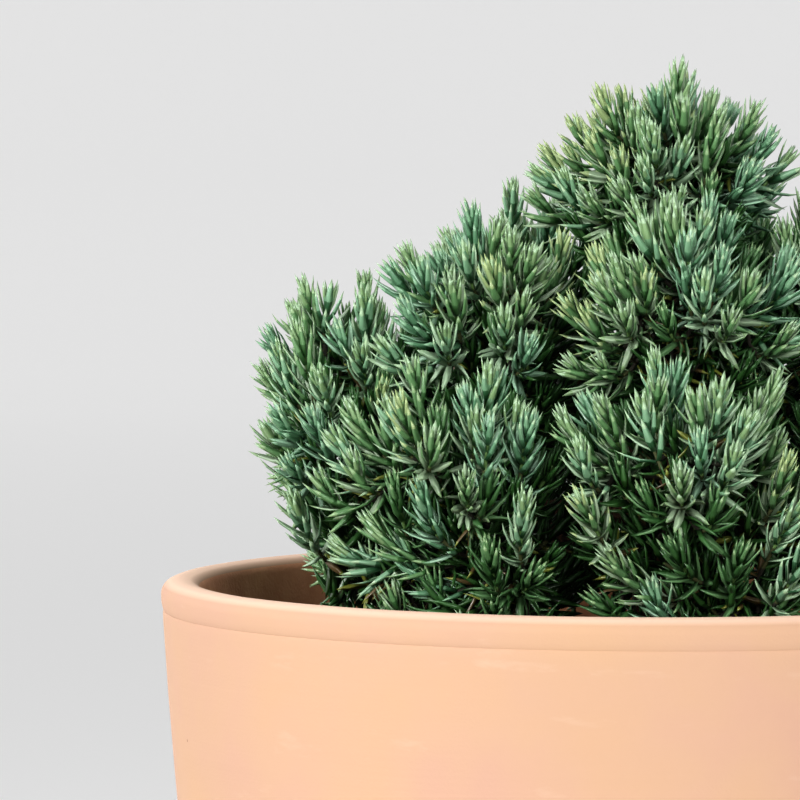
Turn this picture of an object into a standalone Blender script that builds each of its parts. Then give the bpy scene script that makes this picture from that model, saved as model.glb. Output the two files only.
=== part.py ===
"""A dwarf blue juniper in a round terracotta pot.

Units are metres, +Z is up, and the origin is on the pot's axis, at its flat underside.
A short leaning trunk stands in potting soil. One tapering bough reaches from it to each mass of foliage,
and the top mass grows on the trunk's own tip. A mass is a stem whose twigs carry sprays of needles,
with a small dense core. It keeps to its own space: the part of the crown that lies nearest to its centre.
"""

import math
import random

import bmesh
import bpy
from mathutils import Vector

UP = Vector((0, 0, 1))

# Clearance between two touching pieces
GAP = 0.0003

# Pot: a straight tapered wall, a small step out, and a low rounded band at the rim
POT_SIDES = 48
POT_HEIGHT = 0.240
BASE_RADIUS = 0.1208
BASE_CHAMFER = 0.0025
BAND_HEIGHT = 0.0095
BAND_STEP = 0.0008
RIM_RADIUS = 0.140
RIM_INNER_RADIUS = 0.1285
LIP_ROUNDING = 0.004
FLOOR_THICKNESS = 0.012
FLOOR_INNER_RADIUS = 0.1096
DRAIN_RADIUS = 0.011

# Soil: drops are below the rim. It rises a little from the wall to a flat patch under the trunk.
SOIL_SIDES = 24
SOIL_DROP_AT_WALL = 0.027
SOIL_DROP_AT_TRUNK = 0.021
SOIL_FLAT_RADIUS = 0.022
SOIL_RING_SHARES = (0.44, 0.72, 1.0)
SOIL_RIPPLE = 0.0012
SOIL_RIPPLES_ROUND = 3
SOIL_RIPPLE_TWIST = 9.0

# From here on, heights are above the pot's rim.

# Trunk
TRUNK_SIDES = 10
TRUNK_RINGS = 9
TRUNK_RING_CROWDING = 1.4
TRUNK_FOOT = -SOIL_DROP_AT_TRUNK + GAP
TRUNK_TOP = 0.082
TRUNK_FOOT_RADIUS = 0.0085
TRUNK_TIP_RADIUS = 0.0032
TRUNK_SWAY = Vector((0.004, -0.003, 0.0))
TRUNK_LEAN = Vector((0.004, 0.0, 0.0))
ROOT_FLARE = 0.33
ROOT_RIDGES = 0.22
ROOT_FLARE_HEIGHT = 0.012
ROOT_COUNT = 5

# Boughs
BOUGH_SIDES = 5
BOUGH_RINGS = 5
BOUGH_FOOT_RADIUS = 0.0036
BOUGH_TIP_RADIUS = 0.0021
BOUGH_SAG = 0.35
BOUGH_END_SHARE = 0.50

# Tiers of masses round the trunk. A mass's axis leans out by "spread", and its bough leaves the trunk
# between the two fork heights. Neighbours take fork places that are "stride" apart.
LOW = {
    "name": "low",
    "azimuth": 184.0,
    "distance": 0.078,
    "heights": (0.046, 0.027, 0.030, 0.038, 0.032, 0.038, 0.031, 0.036),
    "reach": 0.046,
    "spread": 0.75,
    "sprays": 20,
    "forks": (0.002, 0.0245),
    "stride": 3,
}
MIDDLE = {
    "name": "middle",
    "azimuth": 206.0,
    "distance": 0.046,
    "heights": (0.069, 0.072, 0.074, 0.073, 0.070),
    "reach": 0.042,
    "spread": 0.50,
    "sprays": 26,
    "forks": (0.031, 0.050),
    "stride": 2,
}
TOP_HEIGHT = 0.111
TOP_REACH = 0.039
TOP_SPRAYS = 21

# The crown's widest outline: upright sides to the shoulder, then a cone that the masses' tops stay inside
CROWN_RADIUS = 0.113
CROWN_SHOULDER = 0.080
CROWN_TOP = 0.175

# What each mass keeps clear of
CELL_MARGIN = 0.00025
CORE_MARGIN = 0.0040
TWIG_MARGIN = 0.0030
NEEDLE_MARGIN = 0.0010
SOIL_MARGIN = 0.0040
WALL_MARGIN = 0.0040
RIM_MARGIN = 0.0010

# Cores: radius as a share of the mass's reach, on the crown's outside and towards its heart
CORE_OUTER_SHARE = 0.34
CORE_INNER_SHARE = 0.86
CORE_ROUGHNESS = (0.84, 1.10)
CROWN_HEART = 0.045

# Stems and twigs. Twigs leave the stem from below its centre to above it.
STEM_SIDES = 6
STEM_RADIUS = 0.0019
STEM_STRAIGHT = 0.004
STEM_RISE_SHARE = 0.22
TWIG_RADIUS = 0.0012

# Needle sprays, in whorls of three, larger than life because there are fewer of them
BACK_LIMIT = -0.70
TIP_SHARES = (0.92, 1.0)
SHORTEST_REACH = 0.026
DEEPEST_SPRAY = 0.042
UPWARD = 0.75
WHORL = 3
SPRAY_LENGTH = 0.0265
SPRAY_RADIUS = 0.0018
RING_HEIGHTS = (0.0040, 0.0080, 0.0120, 0.0160, 0.0200)
RING_TWIST = math.radians(60)
NEEDLE_LENGTH = 0.0125
NEEDLE_LENGTH_SHARES = (0.88, 1.08)
NEEDLE_LEANS = (64.0, 54.0, 42.0, 28.0)
NEEDLE_LEAN_SPREAD = 7.0
SEARCH_STEP = 0.0005

GOLDEN_ANGLE = math.pi * (3 - math.sqrt(5))

# Colour and roughness of each material
SKINS = {
    "terracotta": ((0.93, 0.56, 0.36), 0.85),
    "potting_soil": ((0.055, 0.036, 0.024), 0.95),
    "bark": ((0.115, 0.070, 0.042), 0.90),
    "needles": ((0.070, 0.165, 0.095), 0.60),
}


def clear_scene():
    for obj in list(bpy.data.objects):
        bpy.data.objects.remove(obj)


def material(name):
    made = bpy.data.materials.get(name)
    if made:
        return made
    colour, roughness = SKINS[name]
    made = bpy.data.materials.new(name)
    made.use_nodes = True
    shader = made.node_tree.nodes["Principled BSDF"]
    shader.inputs["Base Color"].default_value = (*colour, 1.0)
    shader.inputs["Roughness"].default_value = roughness
    shader.inputs["Metallic"].default_value = 0.0
    return made


def object_from(bm, name, skin, collection=None, smooth=False):
    """Makes an object of a bmesh, which it frees."""
    bmesh.ops.recalc_face_normals(bm, faces=bm.faces)
    mesh = bpy.data.meshes.new(name)
    bm.to_mesh(mesh)
    bm.free()
    if smooth:
        mesh.shade_smooth()
        mesh.set_sharp_from_angle(angle=math.radians(40))
    mesh.materials.append(material(skin))
    obj = bpy.data.objects.new(name, mesh)
    (collection or bpy.context.scene.collection).objects.link(obj)
    return obj


def apply_modifiers(obj):
    bpy.context.view_layer.update()
    graph = bpy.context.evaluated_depsgraph_get()
    mesh = bpy.data.meshes.new_from_object(obj.evaluated_get(graph))
    obj.modifiers.clear()
    old = obj.data
    obj.data = mesh
    bpy.data.meshes.remove(old)
    mesh.name = obj.name


def mix(a, b, share):
    return a + (b - a) * share


def polar(radius, angle, height):
    return Vector((radius * math.cos(angle), radius * math.sin(angle), height))


def level_ring(bm, radius_at, height_at, sides, centre=Vector()):
    """Vertices round the Z axis, or round a centre, with a radius and a height for each angle."""
    angles = [2 * math.pi * i / sides for i in range(sides)]
    return [bm.verts.new(centre + polar(radius_at(a), a, height_at(a))) for a in angles]


def bridge(bm, lower, upper):
    """Quads between two rings of equal length."""
    count = len(lower)
    for i in range(count):
        j = (i + 1) % count
        bm.faces.new((lower[i], lower[j], upper[j], upper[i]))


def close_column(bm, rings):
    """Side faces between successive rings, and a face over each end."""
    for lower, upper in zip(rings, rings[1:]):
        bridge(bm, lower, upper)
    bm.faces.new(list(reversed(rings[0])))
    bm.faces.new(rings[-1])


def cross_axes(direction):
    """Two unit vectors at right angles to a direction and to each other."""
    helper = UP if abs(direction.z) < 0.95 else Vector((1, 0, 0))
    side = direction.cross(helper).normalized()
    return side, direction.cross(side).normalized()


def tube(bm, line, radii, sides):
    """A closed tapering tube along a line of points."""
    rings = []
    for i, point in enumerate(line):
        ahead = line[min(i + 1, len(line) - 1)] - line[max(i - 1, 0)]
        side, other = cross_axes(ahead.normalized())
        angles = [2 * math.pi * k / sides for k in range(sides)]
        offsets = [radii[i] * (math.cos(a) * side + math.sin(a) * other) for a in angles]
        rings.append([bm.verts.new(point + offset) for offset in offsets])
    close_column(bm, rings)


def outer_wall_radius(z):
    """The pot's outer radius at a height above its underside, up to the foot of the rim's band."""
    return mix(BASE_RADIUS, RIM_RADIUS - BAND_STEP, z / (POT_HEIGHT - BAND_HEIGHT))


def inner_wall_radius(z):
    """The pot's inner radius at a height above its underside, up to the foot of the lip."""
    share = (z - FLOOR_THICKNESS) / (POT_HEIGHT - LIP_ROUNDING - FLOOR_THICKNESS)
    return mix(FLOOR_INNER_RADIUS, RIM_INNER_RADIUS, share)


def pot_profile():
    """(radius, height) pairs up the outside, over the rounded lip, down the inside and through the drain."""
    band_foot = POT_HEIGHT - BAND_HEIGHT
    outer_lip = RIM_RADIUS - LIP_ROUNDING
    inner_lip = RIM_INNER_RADIUS + LIP_ROUNDING
    lip_foot = POT_HEIGHT - LIP_ROUNDING
    diagonal = math.sqrt(0.5) * LIP_ROUNDING
    return [
        (DRAIN_RADIUS, 0.0),
        (BASE_RADIUS - BASE_CHAMFER, 0.0),
        (outer_wall_radius(BASE_CHAMFER), BASE_CHAMFER),
        (outer_wall_radius(band_foot - BAND_STEP), band_foot - BAND_STEP),
        (RIM_RADIUS, band_foot + 2 * BAND_STEP),
        (RIM_RADIUS, lip_foot),
        (outer_lip + diagonal, lip_foot + diagonal),
        (outer_lip, POT_HEIGHT),
        (inner_lip, POT_HEIGHT),
        (inner_lip - diagonal, lip_foot + diagonal),
        (RIM_INNER_RADIUS, lip_foot),
        (FLOOR_INNER_RADIUS, FLOOR_THICKNESS),
        (DRAIN_RADIUS, FLOOR_THICKNESS),
    ]


def make_pot():
    bm = bmesh.new()
    rings = [level_ring(bm, lambda a: r, lambda a: z, POT_SIDES) for r, z in pot_profile()]
    for lower, upper in zip(rings, rings[1:] + rings[:1]):
        bridge(bm, lower, upper)
    return object_from(bm, "pot", "terracotta", smooth=True)


def make_soil():
    """Fills the pot, clear of its wall by the gap, with a slight ripple on its sloping top."""
    floor = FLOOR_THICKNESS + GAP
    patch = POT_HEIGHT - SOIL_DROP_AT_TRUNK
    wall = inner_wall_radius(POT_HEIGHT - SOIL_DROP_AT_WALL) - GAP

    def top_height(radius, angle):
        share = (radius - SOIL_FLAT_RADIUS) / (wall - SOIL_FLAT_RADIUS)
        wave = math.sin(SOIL_RIPPLES_ROUND * angle + SOIL_RIPPLE_TWIST * share)
        ripple = SOIL_RIPPLE * wave * math.sin(math.pi * share)
        return patch - share * share * (SOIL_DROP_AT_WALL - SOIL_DROP_AT_TRUNK) + ripple

    bm = bmesh.new()
    rings = [level_ring(bm, lambda a: inner_wall_radius(floor) - GAP, lambda a: floor, SOIL_SIDES)]
    for radius in (wall * share for share in reversed(SOIL_RING_SHARES)):
        rings.append(level_ring(bm, lambda a: radius, lambda a: top_height(radius, a), SOIL_SIDES))
    rings.append(level_ring(bm, lambda a: SOIL_FLAT_RADIUS, lambda a: patch, SOIL_SIDES))
    close_column(bm, rings)
    return object_from(bm, "soil", "potting_soil")


def trunk_share(height):
    return (height - TRUNK_FOOT) / (TRUNK_TOP - TRUNK_FOOT)


def trunk_point(height):
    """The trunk's centre line: a lean with a slight S-shaped sway."""
    share = trunk_share(height)
    return TRUNK_SWAY * math.sin(math.pi * share) + TRUNK_LEAN * share + UP * (POT_HEIGHT + height)


def trunk_radius(height):
    return mix(TRUNK_FOOT_RADIUS, TRUNK_TIP_RADIUS, trunk_share(height))


def trunk_mesh(bm, grown=0.0):
    """Level rings up the trunk, so its foot is flat. The lowest ones swell into root buttresses."""
    rings = []
    for i in range(TRUNK_RINGS):
        height = mix(TRUNK_FOOT, TRUNK_TOP, (i / (TRUNK_RINGS - 1)) ** TRUNK_RING_CROWDING)
        fade = math.exp(-(height - TRUNK_FOOT) / ROOT_FLARE_HEIGHT)

        def radius_at(a):
            swell = fade * (ROOT_FLARE + ROOT_RIDGES * math.cos(ROOT_COUNT * a))
            return trunk_radius(height) * (1 + swell) + grown

        rings.append(level_ring(bm, radius_at, lambda a: 0.0, TRUNK_SIDES, trunk_point(height)))
    close_column(bm, rings)


def make_trunk():
    bm = bmesh.new()
    trunk_mesh(bm)
    return object_from(bm, "trunk", "bark", smooth=True)


def tier_masses(tier):
    """The masses of one tier: name, bough, centre, reach, axis, number of sprays and fork height."""
    count = len(tier["heights"])
    masses = []
    for i, height in enumerate(tier["heights"]):
        azimuth = math.radians(tier["azimuth"] + 360.0 * i / count)
        outward = polar(1.0, azimuth, 0.0)
        place = (i * tier["stride"] % count) / (count - 1)
        masses.append(
            {
                "name": f"{tier['name']}_foliage_{i + 1}",
                "bough": f"{tier['name']}_bough_{i + 1}",
                "centre": outward * tier["distance"] + UP * (POT_HEIGHT + height),
                "reach": tier["reach"],
                "axis": (outward * tier["spread"] + UP).normalized(),
                "sprays": tier["sprays"],
                "fork": mix(*tier["forks"], place),
            }
        )
    return masses


def top_mass():
    return {
        "name": "top_foliage",
        "bough": None,
        "centre": TRUNK_LEAN + UP * (POT_HEIGHT + TOP_HEIGHT),
        "reach": TOP_REACH,
        "axis": UP,
        "sprays": TOP_SPRAYS,
    }


def bough_line(mass):
    """From inside the trunk, out and then up to below the mass's centre."""
    start = trunk_point(mass["fork"])
    end = mass["centre"] - mass["axis"] * BOUGH_END_SHARE * mass["reach"]
    bend = start.lerp(end, 0.5)
    bend.z = mix(start.z, end.z, BOUGH_SAG)
    shares = [i / (BOUGH_RINGS - 1) for i in range(BOUGH_RINGS)]
    return [start * (1 - t) ** 2 + bend * 2 * t * (1 - t) + end * t * t for t in shares]


def bough_radii():
    return [mix(BOUGH_FOOT_RADIUS, BOUGH_TIP_RADIUS, i / (BOUGH_RINGS - 1)) for i in range(BOUGH_RINGS)]


def lay_out_masses():
    """All the masses, each with the line of its bough and the place where its stem starts."""
    masses = tier_masses(LOW) + tier_masses(MIDDLE) + [top_mass()]
    for mass in masses:
        if mass["bough"]:
            mass["line"] = bough_line(mass)
            limb_end = mass["line"][-1]
            mass["stem_axis"] = (limb_end - mass["line"][-2]).normalized()
        else:
            limb_end = trunk_point(TRUNK_TOP)
            mass["stem_axis"] = UP
        mass["stem_foot"] = limb_end + mass["stem_axis"] * GAP
    return masses


def make_boughs(masses):
    """One tapering limb to each mass. Its foot is cut to sit round the trunk, clear of it by the gap."""
    bm = bmesh.new()
    trunk_mesh(bm, grown=GAP)
    cutter = object_from(bm, "trunk_clearance", "bark")
    for mass in masses:
        if not mass["bough"]:
            continue
        bm = bmesh.new()
        tube(bm, mass["line"], bough_radii(), BOUGH_SIDES)
        bough = object_from(bm, mass["bough"], "bark", smooth=True)
        cut = bough.modifiers.new("foot", "BOOLEAN")
        cut.operation = "DIFFERENCE"
        cut.solver = "EXACT"
        cut.object = cutter
        apply_modifiers(bough)
    bpy.data.objects.remove(cutter)


def limb_stretches(masses):
    """(start, end, start radius, end radius) for each straight stretch of trunk and boughs."""
    heights = [mix(TRUNK_FOOT, TRUNK_TOP, i / (TRUNK_RINGS - 1)) for i in range(TRUNK_RINGS)]
    limbs = [([trunk_point(h) for h in heights], [trunk_radius(h) for h in heights])]
    limbs += [(mass["line"], bough_radii()) for mass in masses if mass["bough"]]
    return [
        (line[i], line[i + 1], radii[i], radii[i + 1]) for line, radii in limbs for i in range(len(line) - 1)
    ]


def clear_of_limbs(point, stretches, margin):
    for start, end, start_radius, end_radius in stretches:
        along = end - start
        share = max(0.0, min(1.0, (point - start).dot(along) / along.length_squared))
        if (point - start - along * share).length < mix(start_radius, end_radius, share) + margin:
            return False
    return True


def clear_of_pot(point):
    """Above the soil and, below the rim, inside the pot's wall."""
    if point.z < POT_HEIGHT - SOIL_DROP_AT_TRUNK + SOIL_MARGIN:
        return False
    inside = math.hypot(point.x, point.y) < RIM_INNER_RADIUS - WALL_MARGIN
    return inside or point.z > POT_HEIGHT + RIM_MARGIN


def in_own_space(point, mass, masses):
    """True where a point lies nearer to its own mass's centre than to any other, by the margin."""
    for other in masses:
        if other is not mass:
            across = other["centre"] - mass["centre"]
            halfway = (mass["centre"] + other["centre"]) / 2
            if (point - halfway).dot(across.normalized()) > -CELL_MARGIN:
                return False
    return True


def depth_in_crown(point):
    """How far a point lies inside the crown's outline, level with it."""
    above = max(0.0, point.z - POT_HEIGHT - CROWN_SHOULDER) / (CROWN_TOP - CROWN_SHOULDER)
    return CROWN_RADIUS * (1 - above) - math.hypot(point.x, point.y)


def make_core(mass, masses, stretches, collection):
    """A lump round the stem, thickest towards the crown's heart, drawn in from limbs, pot and neighbours."""
    bm = bmesh.new()
    bmesh.ops.create_icosphere(bm, subdivisions=2, radius=1.0)
    draw = random.Random(mass["name"] + " core")
    centre = mass["centre"]
    inward = (UP * (POT_HEIGHT + CROWN_HEART) - centre).normalized()
    down_stem = (mass["stem_foot"] - centre).normalized()
    lowest = (mass["stem_foot"] - centre).length - CORE_MARGIN
    for vert in bm.verts:
        direction = vert.co.normalized()
        share = mix(CORE_OUTER_SHARE, CORE_INNER_SHARE, (1 + direction.dot(inward)) / 2)
        radius = share * mass["reach"] * draw.uniform(*CORE_ROUGHNESS)
        while radius > SEARCH_STEP:
            point = centre + direction * radius
            above_limb = (point - centre).dot(down_stem) < lowest
            clear = above_limb and clear_of_pot(point) and clear_of_limbs(point, stretches, CORE_MARGIN)
            if clear and in_own_space(point, mass, masses):
                break
            radius -= SEARCH_STEP
        vert.co = centre + direction * radius
    return object_from(bm, "core", "needles", collection)


def make_stem(mass):
    """From the gap at the limb's end, through the mass's centre and a little way on along its axis."""
    foot, centre = mass["stem_foot"], mass["centre"]
    tip = centre + mass["axis"] * STEM_RISE_SHARE * mass["reach"]
    line = [foot, foot + mass["stem_axis"] * STEM_STRAIGHT, centre, tip]
    bm = bmesh.new()
    tube(bm, line, [STEM_RADIUS, STEM_RADIUS, STEM_RADIUS, TWIG_RADIUS], STEM_SIDES)
    return object_from(bm, mass["name"], "needles")


def twig_directions(mass):
    """Spread evenly round the mass, back to the limit: direction, share along the axis, and reach."""
    draw = random.Random(mass["name"])
    turn = mass["axis"].to_track_quat("Z", "Y").to_matrix()
    phase = draw.uniform(0, 2 * math.pi)
    for i in range(mass["sprays"]):
        along = 1 - (2 * i + 0.3) / mass["sprays"]
        reach = mass["reach"] * draw.uniform(*TIP_SHARES)
        if along > BACK_LIMIT:
            across = polar(math.sqrt(1 - along * along), phase + i * GOLDEN_ANGLE, along)
            yield turn @ across, along, reach


def spray_tip(mass, masses, direction, reach):
    """The point at the reach, drawn in to the crown's outline and the mass's own space. None deep inside."""
    while reach > SHORTEST_REACH:
        point = mass["centre"] + direction * reach
        if 0 < depth_in_crown(point) < DEEPEST_SPRAY and in_own_space(point, mass, masses):
            return point
        reach -= SEARCH_STEP
    return None


def spray_mesh(bm, foot, start, axis, draw, is_free):
    """A twig from foot to start, then a slim core that whorls of needles stand out of, and a pointed bud."""
    side, other = cross_axes(axis)
    turn = draw.uniform(0, 2 * math.pi)
    step = 2 * math.pi / WHORL

    def outward(angle):
        return math.cos(angle) * side + math.sin(angle) * other

    def ring(centre, radius, first):
        return [bm.verts.new(centre + radius * outward(first + step * i)) for i in range(WHORL)]

    rings = [ring(start + axis * h, SPRAY_RADIUS, turn + RING_TWIST * k) for k, h in enumerate(RING_HEIGHTS)]
    twig = ring(foot, TWIG_RADIUS, turn)
    bm.faces.new(list(reversed(twig)))
    bridge(bm, twig, rings[0])
    bud = bm.verts.new(start + axis * SPRAY_LENGTH)
    for i in range(WHORL):
        bm.faces.new((rings[-1][i], rings[-1][(i + 1) % WHORL], bud))
    for k, lean in enumerate(NEEDLE_LEANS):
        for i in range(WHORL):
            j = (i + 1) % WHORL
            corners = (rings[k][i], rings[k][j], rings[k + 1][j], rings[k + 1][i])
            root = sum((corner.co for corner in corners), Vector()) / 4
            tilt = math.radians(lean + draw.uniform(-NEEDLE_LEAN_SPREAD, NEEDLE_LEAN_SPREAD))
            out = outward(turn + RING_TWIST * (k + 0.5) + step * (i + 0.5))
            length = NEEDLE_LENGTH * draw.uniform(*NEEDLE_LENGTH_SHARES)
            point = root + length * (math.sin(tilt) * out + math.cos(tilt) * axis)
            if is_free(point, NEEDLE_MARGIN) and is_free(root.lerp(point, 0.5), NEEDLE_MARGIN):
                tip = bm.verts.new(point)
                for a, b in zip(corners, corners[1:] + corners[:1]):
                    bm.faces.new((a, b, tip))
            else:
                bm.faces.new((corners[0], corners[1], corners[3]))
                bm.faces.new((corners[1], corners[2], corners[3]))


def make_sprays(mass, masses, stretches, collection):
    """A twig and spray in each direction, left out where it would leave its space or touch a limb."""
    draw = random.Random(mass["name"] + " needles")

    def is_free(point, margin):
        own = in_own_space(point, mass, masses) and clear_of_pot(point)
        return own and clear_of_limbs(point, stretches, margin)

    for direction, along, reach in twig_directions(mass):
        tip = spray_tip(mass, masses, direction, reach)
        if tip is None:
            continue
        axis = (direction + UP * UPWARD).normalized()
        start = tip - axis * SPRAY_LENGTH
        foot = mass["centre"] + mass["axis"] * STEM_RISE_SHARE * mass["reach"] * along
        checked = (foot.lerp(start, 0.5), start, start.lerp(tip, 0.5), tip)
        if all(is_free(point, TWIG_MARGIN) for point in checked):
            bm = bmesh.new()
            spray_mesh(bm, foot, start, axis, draw, is_free)
            object_from(bm, "spray", "needles", collection)


def keep_largest_shell(mesh):
    """Drops loose scraps, and the walls of any hollow that the joining sealed."""
    bm = bmesh.new()
    bm.from_mesh(mesh)
    bmesh.ops.triangulate(bm, faces=bm.faces)
    left = set(bm.faces)
    shells = []
    while left:
        shell = []
        edge_of_search = [left.pop()]
        while edge_of_search:
            face = edge_of_search.pop()
            shell.append(face)
            near = {other for edge in face.edges for other in edge.link_faces} & left
            left -= near
            edge_of_search.extend(near)
        shells.append(shell)
    largest = max(shells, key=len)
    extra = [face for shell in shells if shell is not largest for face in shell]
    bmesh.ops.delete(bm, geom=extra, context="FACES")
    bm.to_mesh(mesh)
    bm.free()


def make_mass(mass, masses, stretches):
    """Joins a mass's stem, core and sprays into one closed solid."""
    pieces = bpy.data.collections.new(mass["name"])
    bpy.context.scene.collection.children.link(pieces)
    stem = make_stem(mass)
    make_core(mass, masses, stretches, pieces)
    make_sprays(mass, masses, stretches, pieces)
    join = stem.modifiers.new("join", "BOOLEAN")
    join.operation = "UNION"
    join.operand_type = "COLLECTION"
    join.solver = "EXACT"
    join.collection = pieces
    apply_modifiers(stem)
    for piece in list(pieces.objects):
        bpy.data.objects.remove(piece)
    bpy.data.collections.remove(pieces)
    keep_largest_shell(stem.data)


def main():
    clear_scene()
    make_pot()
    make_soil()
    make_trunk()
    masses = lay_out_masses()
    make_boughs(masses)
    stretches = limb_stretches(masses)
    for mass in masses:
        make_mass(mass, masses, stretches)


main()
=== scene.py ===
import math
import random

import bpy
import numpy as np
from mathutils import Matrix, Vector, noise


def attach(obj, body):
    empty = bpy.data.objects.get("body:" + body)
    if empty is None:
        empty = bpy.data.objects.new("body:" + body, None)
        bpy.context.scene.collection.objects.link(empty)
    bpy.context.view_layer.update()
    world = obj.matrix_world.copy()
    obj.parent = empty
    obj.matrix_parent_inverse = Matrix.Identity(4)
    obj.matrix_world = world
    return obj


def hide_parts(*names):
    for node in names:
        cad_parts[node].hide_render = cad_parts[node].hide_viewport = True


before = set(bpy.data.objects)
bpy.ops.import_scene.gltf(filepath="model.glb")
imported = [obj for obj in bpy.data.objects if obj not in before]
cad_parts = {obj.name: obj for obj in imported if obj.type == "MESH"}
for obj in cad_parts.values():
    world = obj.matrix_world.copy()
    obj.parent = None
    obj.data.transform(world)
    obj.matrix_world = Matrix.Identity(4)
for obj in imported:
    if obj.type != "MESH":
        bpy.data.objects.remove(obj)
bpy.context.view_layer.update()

up = Vector((0, 0, 1))
goldenAngle = math.pi * (3 - math.sqrt(5))


# small helpers

def hexColour(code):  # sRGB "#rrggbb" to linear red, green, blue and alpha
    shares = [int(code[i:i + 2], 16) / 255 for i in (1, 3, 5)]
    return [s / 12.92 if s <= 0.04045 else ((s + 0.055) / 1.055) ** 2.4 for s in shares] + [1.0]


def addNode(tree, kind, settings, links):  # one shader node, its settings and the sockets that feed it
    node = tree.nodes.new(kind)
    for key, value in settings.items():
        if isinstance(key, int) or key in node.inputs:
            node.inputs[key].default_value = value
        else:
            setattr(node, key, value)
    for key, source in links.items():
        tree.links.new(source, node.inputs[key])
    return node


def newMaterial(name, colour, roughness):  # a plain base that patterns are then linked to
    made = bpy.data.materials.new(name)
    made.use_nodes = True
    shader = made.node_tree.nodes["Principled BSDF"]
    shader.inputs["Base Color"].default_value = hexColour(colour)
    shader.inputs["Roughness"].default_value = roughness
    return made, made.node_tree, shader


def setRamp(node, stops):  # two or more places and colours of a colour ramp
    ramp = node.color_ramp
    while len(ramp.elements) < len(stops):
        ramp.elements.new(1.0)
    for element, (place, colour) in zip(ramp.elements, stops):
        element.position = place
        element.color = hexColour(colour)


def selectOnly(obj):
    bpy.ops.object.select_all(action="DESELECT")
    obj.select_set(True)
    bpy.context.view_layer.objects.active = obj


def finishPiece(obj, name, nodes):  # its place goes into its mesh, then it joins the frame
    selectOnly(obj)
    bpy.ops.object.transform_apply(location=True, rotation=True, scale=True)
    obj.name = name
    obj.data.name = name
    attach(obj, "root")
    if nodes:
        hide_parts(*nodes)


def mix(a, b, share):
    return a + (b - a) * share


def polar(radius, angle, height):
    return Vector((radius * math.cos(angle), radius * math.sin(angle), height))


def crossAxes(direction):  # two unit vectors square to a direction
    helper = up if abs(direction.z) < 0.95 else Vector((1, 0, 0))
    side = direction.cross(helper).normalized()
    return side, direction.cross(side).normalized()


def curvedLine(foot, bend, tip, count):  # points on a curve that is drawn towards its bend
    shares = [i / (count - 1) for i in range(count)]
    return [foot * (1 - t) ** 2 + bend * 2 * t * (1 - t) + tip * t * t for t in shares]


def openMesh():
    bpy.ops.object.mode_set(mode="EDIT")
    bpy.ops.mesh.select_mode(type="EDGE")
    bpy.ops.mesh.select_all(action="SELECT")


def closeMesh(inward):  # faces turned to one side, and the origin back to the frame's
    bpy.ops.mesh.select_all(action="SELECT")
    bpy.ops.mesh.normals_make_consistent(inside=inward)
    bpy.ops.object.mode_set(mode="OBJECT")
    bpy.ops.object.transform_apply(location=True, rotation=True, scale=True)


def turnOnWheel(profile, sides):  # a ring pulled up, out and in along (radius, height) pairs
    radius, height = profile[0]
    bpy.ops.mesh.primitive_circle_add(vertices=sides, radius=radius, location=(0, 0, height), fill_type="NOTHING")
    openMesh()
    for nextRadius, nextHeight in profile[1:]:
        bpy.ops.mesh.extrude_region_move(TRANSFORM_OT_translate={"value": (0, 0, nextHeight - height)})
        bpy.ops.transform.resize(value=(nextRadius / radius, nextRadius / radius, 1))
        radius, height = nextRadius, nextHeight
    return bpy.context.object  # still in edit mode, with the last ring selected


def roughen(obj, name, lumpSize, strength, group):  # uneven all over, or only in one vertex group
    clouds = bpy.data.textures.new(name, "CLOUDS")
    clouds.noise_scale = lumpSize
    uneven = obj.modifiers.new(name, "DISPLACE")
    uneven.texture = clouds
    uneven.strength = strength
    uneven.vertex_group = group
    selectOnly(obj)
    bpy.ops.object.modifier_apply(modifier=name)


# pot: hand-thrown terracotta, fired, unglazed

potShape = {
    "sides": 192,
    "height": 0.240,
    "baseRounding": 0.0025,
    # heights and radii of the outer wall, up to the crease under the rounded band
    "wall": [(0.0025, 0.1208), (0.1788, 0.1356), (0.1947, 0.1371), (0.2060, 0.1380), (0.2173, 0.1388),
             (0.2235, 0.1393), (0.2313, 0.1395)],
    "bandHeight": 0.0087,
    "bandStep": 0.0005,
    "band": [(0.0007, 0.8), (0.0016, 0.38), (0.0028, 0.10), (0.0042, 0.0)],  # heights, and shares of its step
    "creaseDepth": 0.00022,
    "crease": [(-0.0008, 0.0), (-0.0003, 0.35), (0.0, 1.0), (0.0003, 0.2)],
    "rimRadius": 0.140,
    "rimInnerRadius": 0.1285,
    "lipRounding": 0.0042,
    "lipCrown": 0.0003,
    "floorThickness": 0.012,
    "floorRadius": 0.1096,
    "drainRadius": 0.011,
    "edges": (0.002, 0.003, 0.004, 0.003),  # by the drain, under the crease, and up and in from the floor's corner
    "restRadius": 0.06,  # halfway out on the floor, above and below
    "unevenness": 0.0005,
    "lumpSize": 0.06,
}
rimHeight = potShape["height"]


def outerWall(z):  # between the measured rings
    heights, radii = zip(*potShape["wall"])
    return float(np.interp(z, heights, radii))


def innerWall(z):
    foot, top = potShape["floorThickness"], rimHeight - potShape["lipRounding"]
    return mix(potShape["floorRadius"], potShape["rimInnerRadius"], (z - foot) / (top - foot))


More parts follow.
